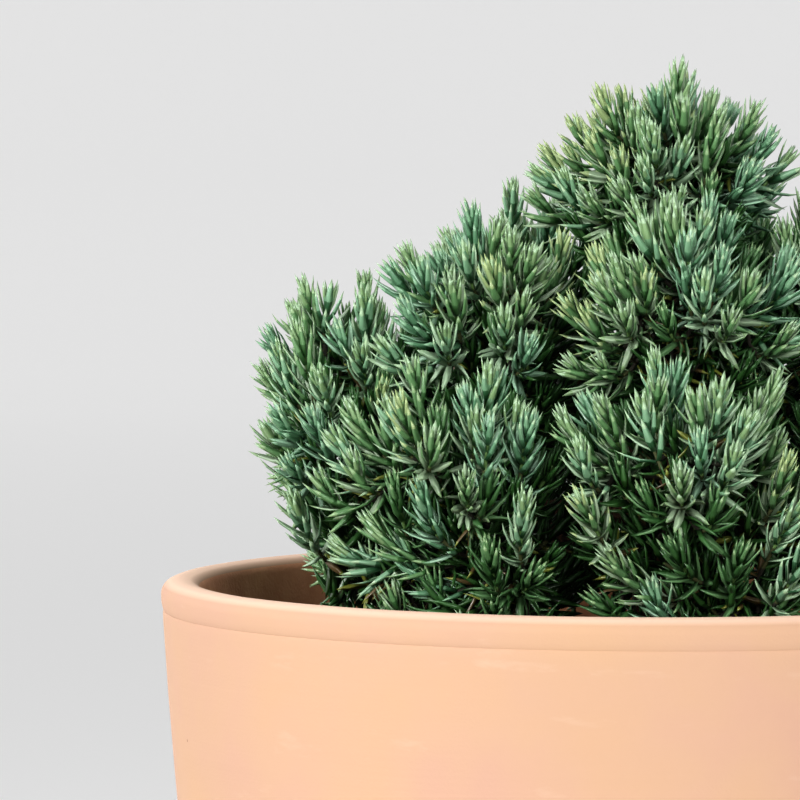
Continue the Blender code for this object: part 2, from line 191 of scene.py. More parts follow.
def potProfile():
    p = potShape
    top, lip, rim, inner = p["height"], p["lipRounding"], p["rimRadius"], p["rimInnerRadius"]
    groove = top - p["bandHeight"]
    drain, crease, rise, corner = p["edges"]
    points = [(p["drainRadius"], 0.0), (p["drainRadius"] + drain, 0.0), (p["restRadius"], 0.0)]
    for i in range(5):  # rounded foot
        a = math.radians(90 * i / 4)
        r, z = p["baseRounding"] * math.sin(a), p["baseRounding"] * (1 - math.cos(a))
        points.append((outerWall(z) - p["baseRounding"] + r, z))
    for i in range(1, 12):  # tapered wall
        z = mix(p["baseRounding"], groove - crease, i / 11)
        points.append((outerWall(z), z))
    points += [(outerWall(groove) - share * p["creaseDepth"], groove + z) for z, share in p["crease"]]
    points += [(rim - share * p["bandStep"], groove + z) for z, share in p["band"]]
    angles = [math.radians(90 * i / 8) for i in range(9)]  # over the lip, outside then inside
    turn = [(lip * math.cos(a), top - lip + (lip - p["lipCrown"]) * math.sin(a)) for a in angles]
    points += [(rim - lip + r, z) for r, z in turn] + [((rim + inner) / 2, top)]
    points += [(inner + lip - r, z) for r, z in reversed(turn)]
    for i in range(1, 10):
        z = mix(top - lip, p["floorThickness"] + rise, i / 9)
        points.append((innerWall(z), z))
    radii = (p["floorRadius"] - corner, p["restRadius"], p["drainRadius"])
    return points + [(radius, p["floorThickness"]) for radius in radii]


def clayMaterial():
    # Terracotta, thrown and fired without glaze: matt, peach, with faint blushes, lime bloom and pin-holes
    look = {"clay": "#b7947b", "rose": "#b6917d", "straw": "#b89578", "bloom": "#c2a590", "dust": "#dab9a3",
            "pit": "#85614a", "damp": "#d8a17c", "dampDark": "#b67b5b"}
    made, tree, shader = newMaterial("terracottaClay", look["clay"], 0.86)
    place = addNode(tree, "ShaderNodeTexCoord", {}, {}).outputs["Object"]
    blush = addNode(tree, "ShaderNodeTexNoise", {"Scale": 17.0, "Detail": 3.0, "Roughness": 0.55}, {"Vector": place})
    tint = addNode(tree, "ShaderNodeValToRGB", {}, {"Fac": blush.outputs["Fac"]})
    setRamp(tint, [(0.34, look["rose"]), (0.52, look["clay"]), (0.70, look["straw"])])
    # wiped smears of lime, long round the pot
    smearMap = addNode(tree, "ShaderNodeMapping", {"Scale": (26.0, 26.0, 105.0)}, {"Vector": place})
    smear = addNode(tree, "ShaderNodeTexNoise", {"Scale": 1.0, "Detail": 5.0, "Roughness": 0.62},
                    {"Vector": smearMap.outputs["Vector"]})
    smearMask = addNode(tree, "ShaderNodeMapRange", {"From Min": 0.60, "From Max": 0.78, "To Max": 0.55},
                        {"Value": smear.outputs["Fac"]})
    # pin-holes about 0.6 mm across, one in each few centimetres, dented, with painted shade darkening them
    cells = addNode(tree, "ShaderNodeTexVoronoi", {"Scale": 70.0}, {"Vector": place})
    near = addNode(tree, "ShaderNodeMapRange", {"From Min": 0.018, "From Max": 0.036, "To Min": 1.0, "To Max": 0.0},
                   {"Value": cells.outputs["Distance"]})
    chosen = addNode(tree, "ShaderNodeSeparateColor", {}, {"Color": cells.outputs["Color"]})
    few = addNode(tree, "ShaderNodeMath", {"operation": "GREATER_THAN", 1: 0.60}, {0: chosen.outputs["Red"]})
    pit = addNode(tree, "ShaderNodeMath", {"operation": "MULTIPLY"},
                  {0: near.outputs["Result"], 1: few.outputs["Value"]})
    # dust settles where the clay faces up, and painted light from above: the clay is lighter the more it faces up
    surface = addNode(tree, "ShaderNodeNewGeometry", {}, {})
    facing = addNode(tree, "ShaderNodeSeparateXYZ", {}, {0: surface.outputs["Normal"]})
    dustAndTopLightMask = addNode(tree, "ShaderNodeMapRange", {"From Min": 0.60, "From Max": 0.97}, {"Value": facing.outputs["Z"]})
    colour = tint.outputs["Color"]
    for name, mask in (("bloom", smearMask), ("pit", pit), ("dust", dustAndTopLightMask)):
        colour = addNode(tree, "ShaderNodeMix", {"data_type": "RGBA", 7: hexColour(look[name])},
                         {0: mask.outputs[0], 6: colour}).outputs[2]
    tree.links.new(colour, shader.inputs["Base Color"])
    # sand grain of 0.8 mm and the faint rings that the thrower's fingers leave
    grain = addNode(tree, "ShaderNodeTexNoise", {"Scale": 1250.0, "Detail": 2.0}, {"Vector": place})
    ringMap = addNode(tree, "ShaderNodeMapping", {"Scale": (4.0, 4.0, 260.0)}, {"Vector": place})
    rings = addNode(tree, "ShaderNodeTexNoise", {"Scale": 1.0, "Detail": 2.0}, {"Vector": ringMap.outputs["Vector"]})
    relief = addNode(tree, "ShaderNodeMath", {"operation": "MULTIPLY_ADD", 1: 0.35},
                     {0: grain.outputs["Fac"], 2: rings.outputs["Fac"]})
    dented = addNode(tree, "ShaderNodeMath", {"operation": "SUBTRACT"},
                     {0: relief.outputs["Value"], 1: pit.outputs["Value"]})
    bump = addNode(tree, "ShaderNodeBump", {"Strength": 0.35, "Distance": 0.0004},
                   {"Height": dented.outputs["Value"]})
    tree.links.new(bump.outputs["Normal"], shader.inputs["Normal"])

    # The same clay for the inside, soaked from behind and a little smoother; its deeper orange-brown is partly
    # painted shade of the hollow
    damp, tree, shader = newMaterial("terracottaDamp", look["damp"], 0.78)
    place = addNode(tree, "ShaderNodeTexCoord", {}, {}).outputs["Object"]
    soak = addNode(tree, "ShaderNodeTexNoise", {"Scale": 45.0, "Detail": 5.0, "Roughness": 0.6}, {"Vector": place})
    tint = addNode(tree, "ShaderNodeValToRGB", {}, {"Fac": soak.outputs["Fac"]})
    setRamp(tint, [(0.30, look["dampDark"]), (0.72, look["damp"])])
    tree.links.new(tint.outputs["Color"], shader.inputs["Base Color"])
    grain = addNode(tree, "ShaderNodeTexNoise", {"Scale": 900.0, "Detail": 3.0}, {"Vector": place})
    bump = addNode(tree, "ShaderNodeBump", {"Strength": 0.4, "Distance": 0.0005}, {"Height": grain.outputs["Fac"]})
    tree.links.new(bump.outputs["Normal"], shader.inputs["Normal"])
    return made, damp


def makePot():
    pot = turnOnWheel(potProfile(), potShape["sides"])
    bpy.ops.mesh.select_all(action="DESELECT")
    bpy.ops.mesh.select_non_manifold()
    bpy.ops.mesh.bridge_edge_loops()  # closes the wall of the drain hole
    closeMesh(False)
    roughen(pot, "unevenClay", potShape["lumpSize"], potShape["unevenness"], "")
    bpy.ops.object.shade_smooth_by_angle(angle=math.radians(50))
    clay, damp = clayMaterial()
    pot.data.materials.append(clay)
    pot.data.materials.append(damp)
    innerTop = rimHeight - 0.45 * potShape["lipRounding"]
    for face in pot.data.polygons:  # the inside, up to the turn of the lip, takes the copy with painted shade
        centre = face.center
        onFloor = math.hypot(centre.x, centre.y) < 0.1
        inside = onFloor or face.normal.x * centre.x + face.normal.y * centre.y < 0
        face.material_index = 1 if inside and potShape["floorThickness"] / 2 < centre.z < innerTop else 0
    finishPiece(pot, "terracottaPot", ["pot"])


# soil: bark-based potting mix

soilShape = {
    "sides": 96,
    "rings": 26,
    "wallDrop": 0.027,  # of the mix below the rim
    "trunkDrop": 0.021,
    "flatRadius": 0.022,
    "clearance": 0.0003,
    "floorGap": 0.0015,
    "footInset": 0.0035,
    "sideInset": 0.0004,
    "poles": (0.006, 0.003),  # radii left open below and above until they are filled
    "lumps": 0.0016,
    "lumpSize": 0.006,
}
chipShape = {
    "seed": 21,
    "count": 1500,
    "sizes": (0.0012, 0.0036),
    "widths": (0.4, 0.8),  # shares of the size
    "thicknesses": (0.18, 0.4),
    "corners": (0.6, 1.0),
    "spreadRadius": 0.125,
    "wallGap": 0.002,
    "tilt": 0.4,
    "lift": 0.0008,
}


def soilHeight(radius):  # the top of the mix, above the pot's foot
    wall = innerWall(rimHeight - soilShape["wallDrop"]) - soilShape["clearance"]
    share = max(0.0, (radius - soilShape["flatRadius"]) / (wall - soilShape["flatRadius"]))
    return rimHeight - mix(soilShape["trunkDrop"], soilShape["wallDrop"], share * share)


def roughMaterial(name, roughness, stops, grain, scale, relief):  # one grain tints it and stands out from it
    made, tree, shader = newMaterial(name, stops[(len(stops) - 1) // 2][1], roughness)
    place = addNode(tree, "ShaderNodeTexCoord", {}, {}).outputs["Object"]
    scaled = addNode(tree, "ShaderNodeMapping", {"Scale": scale}, {"Vector": place})
    pattern = addNode(tree, "ShaderNodeTexNoise", {"Scale": 1.0, "Detail": grain[0], "Roughness": grain[1]},
                      {"Vector": scaled.outputs["Vector"]})
    tint = addNode(tree, "ShaderNodeValToRGB", {}, {"Fac": pattern.outputs["Fac"]})
    setRamp(tint, stops)
    tree.links.new(tint.outputs["Color"], shader.inputs["Base Color"])
    bump = addNode(tree, "ShaderNodeBump", {"Strength": relief[0], "Distance": relief[1]},
                   {"Height": pattern.outputs["Fac"]})
    tree.links.new(bump.outputs["Normal"], shader.inputs["Normal"])
    return made


def mixMaterial(name, light, dark, roughness):
    # Composted bark and peat: dark, crumbly, uneven at 2 to 4 mm
    return roughMaterial(name, roughness, [(0.38, dark), (0.68, light)], (5.0, 0.65), (320.0,) * 3, (0.8, 0.0012))


def makeSoil():
    s = soilShape
    floor = potShape["floorThickness"] + s["floorGap"]
    wallTop = rimHeight - s["wallDrop"]
    wall = innerWall(wallTop) - s["clearance"]
    foot = innerWall(floor) - s["footInset"]
    profile = [(s["poles"][0], floor), (potShape["restRadius"], floor), (foot, floor)]
    profile += [(mix(foot, wall, i / 6) - s["sideInset"], mix(floor, wallTop, i / 6)) for i in range(1, 7)]
    for i in range(1, s["rings"] + 1):
        radius = mix(wall, s["poles"][1], i / s["rings"])
        profile.append((radius, soilHeight(radius)))
    soil = turnOnWheel(profile, s["sides"])
    bpy.ops.mesh.select_all(action="SELECT")
    bpy.ops.mesh.fill_holes(sides=0)
    closeMesh(False)
    top = soil.vertex_groups.new(name="top")
    top.add([v.index for v in soil.data.vertices
             if v.co.z > wallTop - 0.0001 and math.hypot(v.co.x, v.co.y) < wall - 0.002], 1.0, "REPLACE")
    roughen(soil, "crumbs", s["lumpSize"], s["lumps"], "top")
    bpy.ops.object.shade_smooth_by_angle(angle=math.radians(60))
    soil.data.materials.append(mixMaterial("pottingMix", "#3a2a1e", "#150e09", 0.95))
    finishPiece(soil, "pottingSoil", ["soil"])


def meshPiece(name, points, triangles, slots, materials, nodes):  # one joined mesh from arrays
    mesh = bpy.data.meshes.new(name)
    points, triangles = np.concatenate(points), np.concatenate(triangles)
    mesh.vertices.add(len(points))
    mesh.vertices.foreach_set("co", points.astype(np.float32).ravel())
    mesh.loops.add(triangles.size)
    mesh.loops.foreach_set("vertex_index", triangles.astype(np.int32).ravel())
    mesh.polygons.add(len(triangles))
    mesh.polygons.foreach_set("loop_start", np.arange(0, triangles.size, 3, dtype=np.int32))
    mesh.polygons.foreach_set("material_index", np.concatenate(slots).astype(np.int32))
    mesh.update(calc_edges=True)
    mesh.validate()
    for material in materials:
        mesh.materials.append(material)
    obj = bpy.data.objects.new(name, mesh)
    bpy.context.scene.collection.objects.link(obj)
    finishPiece(obj, name, nodes)
    return len(mesh.polygons)


def makeChips():  # loose bark on the mix, each a small uneven block
    c = chipShape
    draw = random.Random(c["seed"])
    block = np.array([[x, y, z] for x in (-1, 1) for y in (-1, 1) for z in (-1, 1)], float)
    faces = np.array([[0, 1, 3], [0, 3, 2], [4, 6, 7], [4, 7, 5], [0, 4, 5], [0, 5, 1],
                      [2, 3, 7], [2, 7, 6], [0, 2, 6], [0, 6, 4], [1, 5, 7], [1, 7, 3]])
    points, triangles, slots = [], [], []
    for i in range(c["count"]):
        radius = c["spreadRadius"] * math.sqrt(draw.random())
        size = mix(*c["sizes"], draw.random() ** 2)
        if radius + size > innerWall(rimHeight - soilShape["wallDrop"]) - c["wallGap"]:
            continue
        shape = block * [size, size * draw.uniform(*c["widths"]), size * draw.uniform(*c["thicknesses"])]
        shape *= np.array([[draw.uniform(*c["corners"]) for k in range(3)] for corner in range(8)])
        a, tilt = draw.uniform(0, 2 * math.pi), draw.uniform(-c["tilt"], c["tilt"])
        turn = np.array(Matrix.Rotation(a, 3, "Z") @ Matrix.Rotation(tilt, 3, "Y"))
        centre = polar(radius, draw.uniform(0, 2 * math.pi), soilHeight(radius) + c["lift"])
        points.append(shape @ turn.T + np.array(centre))
        triangles.append(faces + 8 * (len(points) - 1))
        slots.append(np.full(12, draw.choice((0, 0, 0, 1, 1, 2))))
    # Pine bark chips: weathered brown, some tan where freshly broken
    materials = [mixMaterial("barkChipDark", "#4a3324", "#20150e", 0.9),
                 mixMaterial("barkChipBrown", "#75543a", "#3b281b", 0.88),
                 mixMaterial("barkChipTan", "#b58f66", "#7c5b3c", 0.85)]
    meshPiece("barkChips", points, triangles, slots, materials, [])


# limbs: the trunk and the boughs, under flaking bark

limbShape = {
    "trunkTop": 0.082,  # heights above the pot's rim
    "trunkFootRadius": 0.0085,
    "trunkTipRadius": 0.0032,
    "trunkSway": Vector((0.004, -0.003, 0.0)),
    "trunkLean": Vector((0.004, 0.0, 0.0)),
    "rootFlare": 0.33,
    "rootRidges": 0.22,
    "rootFlareHeight": 0.012,
    "rootCount": 5,
    "rootDepth": 0.002,  # grown below the mix, then cut off flat
    "boughFootRadius": 0.0036,
    "boughTipRadius": 0.0021,
    "boughSag": 0.35,
    "boughEndShare": 0.50,
    "trunkRings": 71,
    "boughRings": 34,
    "barkDepth": 0.0007,
    "barkGrain": (420, 420, 70),  # finer across the limb than along it
}


def trunkShare(height):
    foot = -soilShape["trunkDrop"]
    return (height - foot) / (limbShape["trunkTop"] - foot)


def trunkPoint(height):
    share = trunkShare(height)
    sway = limbShape["trunkSway"] * math.sin(math.pi * share) + limbShape["trunkLean"] * share
    return sway + up * (rimHeight + height)


def trunkRadius(height):
    return mix(limbShape["trunkFootRadius"], limbShape["trunkTipRadius"], trunkShare(height))


def boughLine(mass, count):
    start = trunkPoint(mass["fork"])
    end = mass["centre"] - mass["axis"] * limbShape["boughEndShare"] * mass["reach"]
    bend = start.lerp(end, 0.5)
    bend.z = mix(start.z, end.z, limbShape["boughSag"])
    return curvedLine(start, bend, end, count)


def boughRadius(share):
    return mix(limbShape["boughFootRadius"], limbShape["boughTipRadius"], share)


def drawLimb(line, radii, sides):  # a curve with a round bevel, turned into a mesh
    bpy.ops.curve.primitive_nurbs_path_add(location=(0, 0, 0))
    limb = bpy.context.object
    limb.data.splines.clear()
    spline = limb.data.splines.new("POLY")
    spline.points.add(len(line) - 1)
    for point, place, radius in zip(spline.points, line, radii):
        point.co = (*place, 1.0)
        point.radius = radius
    limb.data.bevel_depth = 1.0
    limb.data.bevel_resolution = sides // 2 - 2
    limb.data.use_fill_caps = True
    bpy.ops.object.convert(target="MESH")
    openMesh()
    bpy.ops.mesh.remove_doubles(threshold=0.00001)
    closeMesh(False)
    return bpy.context.object


def barkMaterial():
    # Juniper bark: thin grey-brown strips that shred lengthwise, matt
    stops = [(0.30, "#281a12"), (0.50, "#4f3a2a"), (0.72, "#83654a")]
    return roughMaterial("juniperBark", 0.92, stops, (4.0, 0.6), (900.0, 900.0, 130.0), (0.9, 0.0008))


def makeLimbs(masses):
    s = limbShape
    foot = -soilShape["trunkDrop"]
    rings = s["trunkRings"]
    heights = [mix(foot - s["rootDepth"], s["trunkTop"], i / (rings - 1)) for i in range(rings)]
    trunk = drawLimb([trunkPoint(h) for h in heights], [trunkRadius(h) for h in heights], 32)
    for vert in trunk.data.vertices:  # the root flare, with a buttress over each root
        height = vert.co.z - rimHeight
        centre = trunkPoint(height)
        angle = math.atan2(vert.co.y - centre.y, vert.co.x - centre.x)
        fade = math.exp(-max(0.0, height - foot) / s["rootFlareHeight"])
        swell = 1 + fade * (s["rootFlare"] + s["rootRidges"] * math.cos(s["rootCount"] * angle))
        vert.co.x = centre.x + (vert.co.x - centre.x) * swell
        vert.co.y = centre.y + (vert.co.y - centre.y) * swell
    selectOnly(trunk)
    openMesh()
    bpy.ops.mesh.bisect(plane_co=(0, 0, rimHeight + foot + 0.0003), plane_no=(0, 0, 1),
                        use_fill=True, clear_inner=True)
    bpy.ops.object.mode_set(mode="OBJECT")
    limbs = [trunk]
    for mass in masses:
        if mass["bough"]:
            rings = s["boughRings"]
            radii = [boughRadius(i / (rings - 1)) for i in range(rings)]
            limbs.append(drawLimb(boughLine(mass, rings), radii, 16))
    selectOnly(trunk)
    for limb in limbs:
        limb.select_set(True)
    bpy.ops.object.join()
    for vert in trunk.data.vertices:  # strips of bark stand proud along the grain
        if vert.co.z > rimHeight + foot + 0.001:
            rough = noise.fractal(vert.co * Vector(s["barkGrain"]), 1.0, 2.0, 3)
            vert.co = vert.co + vert.normal * s["barkDepth"] * rough
    bpy.ops.object.shade_smooth_by_angle(angle=math.radians(60))
    trunk.data.materials.append(barkMaterial())
    nodes = ["trunk"] + [mass["bough"] for mass in masses if mass["bough"]]
    finishPiece(trunk, "limbBark", nodes)


# the crown: where its masses are, as in the solids

lowTier = {
    "name": "low",
    "azimuth": 184.0,
    "distance": 0.078,
    "heights": (0.046, 0.027, 0.030, 0.038, 0.032, 0.038, 0.031, 0.036),
    "reach": 0.046,
    "spread": 0.75,
    "sprays": 20,
    "forks": (0.002, 0.0245),
    "stride": 3,
}
middleTier = {
    "name": "middle",
    "azimuth": 206.0,
    "distance": 0.046,
    "heights": (0.069, 0.072, 0.074, 0.073, 0.070),
    "reach": 0.042,
    "spread": 0.50,
    "sprays": 26,
    "forks": (0.031, 0.050),
    "stride": 2,
}
crown = {
    "topHeight": 0.111,
    "topReach": 0.039,
    "topSprays": 21,
    "radius": 0.113,  # of the whole crown, up to its shoulder
    "shoulder": 0.080,
    "top": 0.175,
    "skirt": 0.094,  # how wide the crown is at the rim, and how fast it widens above
    "skirtSlope": 0.53,
    "backLimit": -0.70,
    "tipShares": (0.92, 1.0),
    "shortestReach": 0.026,
    "reachStep": 0.0005,
    "deepestSpray": 0.042,
    "sprayLength": 0.0265,
    "stemStraight": 0.004,
    "stemRise": 0.22,
    "cellMargin": 0.00025,  # to the space of the next mass
    "twigMargin": 0.0030,
    "soilMargin": 0.0040,
    "wallMargin": 0.0040,
    "rimMargin": 0.0010,
}


def layOutMasses():
    masses = []
    for tier in (lowTier, middleTier):
        count = len(tier["heights"])
        for i, height in enumerate(tier["heights"]):
            outward = polar(1.0, math.radians(tier["azimuth"] + 360.0 * i / count), 0.0)
            place = (i * tier["stride"] % count) / (count - 1)
            masses.append({
                "name": f"{tier['name']}_foliage_{i + 1}",
                "pieces": f"{tier['name']}{{}}{i + 1}",
                "bough": f"{tier['name']}_bough_{i + 1}",
                "centre": outward * tier["distance"] + up * (rimHeight + height),
                "reach": tier["reach"],
                "axis": (outward * tier["spread"] + up).normalized(),
                "sprays": tier["sprays"],
                "fork": mix(*tier["forks"], place),
            })
    masses.append({
        "name": "top_foliage",
        "pieces": "top{}",
        "bough": None,
        "centre": limbShape["trunkLean"] + up * (rimHeight + crown["topHeight"]),
        "reach": crown["topReach"],
        "axis": up,
        "sprays": crown["topSprays"],
    })
    for mass in masses:
        mass["turn"] = mass["axis"].to_track_quat("Z", "Y").to_matrix()
        if mass["bough"]:
            line = mass["line"] = boughLine(mass, 5)
            mass["stemFoot"] = line[-1]
            mass["stemAxis"] = (line[-1] - line[-2]).normalized()
        else:
            mass["stemFoot"] = trunkPoint(limbShape["trunkTop"])
            mass["stemAxis"] = up
        mass["edges"] = [((mass["centre"] + other["centre"]) / 2, (other["centre"] - mass["centre"]).normalized())
                         for other in masses if other is not mass]
    return masses


def limbStretches(masses):
    heights = [mix(-soilShape["trunkDrop"], limbShape["trunkTop"], i / 8) for i in range(9)]
    limbs = [([trunkPoint(h) for h in heights], [trunkRadius(h) for h in heights])]
    limbs += [(mass["line"], [boughRadius(i / 4) for i in range(5)]) for mass in masses if mass["bough"]]
    return [(line[i], line[i + 1], radii[i], radii[i + 1]) for line, radii in limbs for i in range(len(line) - 1)]


def clearOfLimbs(point, stretches, margin):
    for start, end, startRadius, endRadius in stretches:
        along = end - start
        share = max(0.0, min(1.0, (point - start).dot(along) / along.length_squared))
        if (point - start - along * share).length < mix(startRadius, endRadius, share) + margin:
            return False
    return True


def clearOfPot(point):
    if point.z < rimHeight - soilShape["trunkDrop"] + crown["soilMargin"]:
        return False
    inside = math.hypot(point.x, point.y) < potShape["rimInnerRadius"] - crown["wallMargin"]
    return inside or point.z > rimHeight + crown["rimMargin"]


def inOwnSpace(point, mass, margin):  # nearer to its own mass than to any other
    return all((point - halfway).dot(across) <= -margin for halfway, across in mass["edges"])


def areFree(points, mass, stretches, margin):
    return all(inOwnSpace(point, mass, crown["cellMargin"]) and clearOfPot(point)
               and clearOfLimbs(point, stretches, margin) for point in points)


def inSkirt(point, leeway):  # the crown draws in towards the rim
    height = point.z - rimHeight
    return math.hypot(point.x, point.y) < crown["skirt"] + crown["skirtSlope"] * max(0.0, height) + leeway


def depthInCrown(point):
    above = max(0.0, point.z - rimHeight - crown["shoulder"]) / (crown["top"] - crown["shoulder"])
    return crown["radius"] * (1 - above) - math.hypot(point.x, point.y)


def sprayTip(mass, direction, reach, shortest, deepest):
    while reach > shortest:
        point = mass["centre"] + direction * reach
        if 0.0 < depthInCrown(point) < deepest and inOwnSpace(point, mass, crown["cellMargin"]):
            return point
        reach -= crown["reachStep"]
    return None


# growth: twigs, then shoots on the twigs, each a spray of needles

growth = {
    "leaderPoints": 12,
    "leaderUpward": 1.25,
    "leaderLeeway": 0.003,  # past the crown's skirt
    "shootPoints": 10,
    "footMargin": 0.0015,  # of a shoot from the limbs
    "sides": 7,  # side shoots of a leader
    "sideDrop": (0.0030, 0.0160),
    "sideDropShares": (0.8, 1.3),
    "sideWidth": (0.0082, 0.0145),
    "sideWidthShares": (0.85, 1.15),
    "sideSpread": 0.34,
    "sideUpward": 0.30,
    "sideWander": 0.10,
    "sideLength": (0.013, 0.020),
    "sideForkDrop": 0.004,
    "sideClearance": 0.001,
    "sideGap": 0.0080,
    "fineTries": 1500,  # directions tried for finer shoots in each mass
    "backLimit": -0.92,
    # for each layer: its share of the tries, its reach, and the spacing of its tips
    "layers": [(0.42, (0.84, 0.98), 0.0112), (0.24, (0.64, 0.80), 0.0118), (0.34, (0.20, 0.62), 0.0105)],
    "innerReach": (0.50, 1.30),  # of shoots that fill the space by the trunk
    "shortestReach": 0.008,
    "clearance": 0.0025,  # of their tips from a neighbour's space
    "within": 0.0035,  # of the crown's outline, so that the main twigs stand out
    "leastRise": 0.15,
    "upward": 1.35,
    "wander": 0.20,
    "leafyLength": (0.017, 0.028),
    "leastLeafy": 0.010,
    "leafyStep": 0.002,
    "forkBias": 0.6,  # against forks ahead of the shoot's foot
    "skyRays": 36,
    "lowestRay": -0.1,
    "shadeStart": 0.010,
    "shadeWidth": 0.0085,  # of what hides the sky from a shoot
    "heartShare": 0.13,  # a shoot that sees less of the sky has near-black needles: painted shade
    "shadeShare": 0.20,  # and one that sees less than this has deep green ones without bloom: painted shade, and the deeper green of needles grown in shade
}
needleShape = {
    "length": 0.0105,
    "lengthShares": (0.90, 1.08),
    "youngLength": 0.62,  # share of the length by the tip of a twig
    "lastLength": 0.85,  # and by the end of its green part
    "halfWidth": 0.106,  # shares of the needle's length
    "widthShares": (0.9, 1.1),
    "thickness": 0.050,
    "curl": (0.24, 0.46),
    "sections": [(0.0, 0.72, 0.9), (0.38, 1.0, 1.0), (0.76, 0.64, 0.75)],  # along it, with shares of width and depth
    "whorlStep": 0.00270,
    "whorlShares": (0.62, 1.12),  # by the tip, and further down
    "darkShare": 1.5,  # in the shade whorls stand further apart
    "oldStep": 0.0034,
    "oldStretch": 0.010,  # of twig that still has old needles
    "oldLost": 0.45,
    "oldLean": (70, 110),  # degrees from the twig
    "youngLean": 14,
    "collarLean": 28,  # added up to half the age, and again from there
    "leanScatter": 5.0,
    "openness": (0.82, 1.15),
    "vigour": (0.92, 1.10),
    "twist": 60.0,
    "twistScatter": 0.10,
    "socket": 0.0006,  # from the middle of the twig
    "tuft": 0.0062,  # how far the topmost needles reach past the end of the twig
    "bareFoot": 0.0015,
    "rimClearance": (0.0008, 0.0015),  # above the rim and inside it
    "soilClearance": 0.0015,
}


def isCrowded(tip, taken, gap):
    return any((tip - other).length < gap for other in taken)


def growLeaders(mass, stretches, taken):  # the twigs that the solids have, at the same tips
    draw = random.Random(mass["name"])
    phase = draw.uniform(0, 2 * math.pi)
    leaders = []
    for i in range(mass["sprays"]):
        along = 1 - (2 * i + 0.3) / mass["sprays"]
        reach = mass["reach"] * draw.uniform(*crown["tipShares"])
        if along <= crown["backLimit"]:
            continue
        direction = mass["turn"] @ polar(math.sqrt(1 - along * along), phase + i * goldenAngle, along)
        tip = sprayTip(mass, direction, reach, crown["shortestReach"], crown["deepestSpray"])
        if tip is None or not inSkirt(tip, growth["leaderLeeway"]):
            continue
        axis = (direction + up * growth["leaderUpward"]).normalized()
        start = tip - axis * crown["sprayLength"]
        foot = mass["centre"] + mass["axis"] * crown["stemRise"] * mass["reach"] * along
        checked = (foot.lerp(start, 0.5), start, start.lerp(tip, 0.5), tip)
        if areFree(checked, mass, stretches, crown["twigMargin"]):
            line = curvedLine(foot, start, tip - axis * needleShape["tuft"], growth["leaderPoints"])
            leaders.append({"line": line, "leafy": growth["leafyLength"][1], "main": True, "tip": tip, "axis": axis})
            taken.append(tip)
    return leaders


def growSides(mass, leaders, stretches, taken):  # a ring below each leader, which fans out into one plume with it
    g = growth
    draw = random.Random(mass["name"] + " sides")
    shoots = []
    for leader in leaders:
        axis = leader["axis"]
        side, other = crossAxes(axis)
        start = draw.uniform(0, 2 * math.pi)
        for i in range(g["sides"]):
            share = i / (g["sides"] - 1)
            a = start + i * goldenAngle
            outward = math.cos(a) * side + math.sin(a) * other
            wide = mix(*g["sideWidth"], share) * draw.uniform(*g["sideWidthShares"])
            drop = axis * mix(*g["sideDrop"], share) * draw.uniform(*g["sideDropShares"])
            tip = leader["tip"] - drop + outward * wide
            wander = Vector([draw.gauss(0, g["sideWander"]) for k in range(3)])
            sideAxis = (axis + outward * g["sideSpread"] + wander + up * g["sideUpward"]).normalized()
            leafy = draw.uniform(*g["sideLength"])
            end = tip - sideAxis * needleShape["tuft"]
            foot = end - sideAxis * leafy
            fork = min(leader["line"][3:10], key=lambda point: (point - foot + axis * g["sideForkDrop"]).length)
            if depthInCrown(tip) < 0 or not inSkirt(tip, 0.0) or not inOwnSpace(tip, mass, g["sideClearance"]):
                continue
            if not clearOfPot(tip) or isCrowded(tip, taken, g["sideGap"]):
                continue
            if areFree((foot, end), mass, stretches, g["footMargin"]):
                line = curvedLine(fork, foot, end, g["shootPoints"])
                shoots.append({"line": line, "leafy": leafy, "main": False})
                taken.append(tip)
    return shoots


def growFine(mass, leaders, stretches, taken):  # shoots between them, each from the nearest twig
    g = growth
    draw = random.Random(mass["name"] + " fine")
    forks = [point for leader in leaders for point in leader["line"][2:9]]
    order = list(range(g["fineTries"]))
    draw.shuffle(order)
    layerEnds = np.cumsum([layer[0] for layer in g["layers"]]) * g["fineTries"]
    shoots = []
    for rank, i in enumerate(order):
        reaches, spacing = g["layers"][int(np.searchsorted(layerEnds, rank + 0.5))][1:]
        along = 1 - (1 - g["backLimit"]) * (i + 0.5) / g["fineTries"]
        direction = mass["turn"] @ polar(math.sqrt(1 - along * along), i * goldenAngle, along)
        if rank > layerEnds[1] and direction.dot(mass["axis"] - up * mass["axis"].z) < 0:
            reaches = g["innerReach"]
        tip = sprayTip(mass, direction, mass["reach"] * draw.uniform(*reaches), g["shortestReach"], crown["radius"])
        if tip is None or not inSkirt(tip, 0.0) or depthInCrown(tip) < g["within"]:
            continue
        if isCrowded(tip, taken, spacing) or not inOwnSpace(tip, mass, g["clearance"]):
            continue
        wander = Vector([draw.gauss(0, g["wander"]) for k in range(3)])
        lifted = Vector((direction.x, direction.y, max(g["leastRise"], direction.z)))
        axis = (lifted + up * g["upward"] + wander).normalized()
        leafy = draw.uniform(*g["leafyLength"])
        end = tip - axis * needleShape["tuft"]
        start = end - axis * leafy
        while leafy > g["leastLeafy"] and not areFree([start], mass, stretches, g["footMargin"]):
            leafy -= g["leafyStep"]  # a shorter one where its foot has no room
            start = end - axis * leafy
        if not areFree((start, end), mass, stretches, g["footMargin"]) or not clearOfPot(tip):
            continue
        fork = min(forks, default=mass["centre"], key=lambda point:
                   (point - start).length + g["forkBias"] * max(0.0, (point - start).dot(axis)))
        line = curvedLine(fork, start, end, g["shootPoints"])
        shoots.append({"line": line, "leafy": leafy, "main": False})
        taken.append(tip)
    return shoots


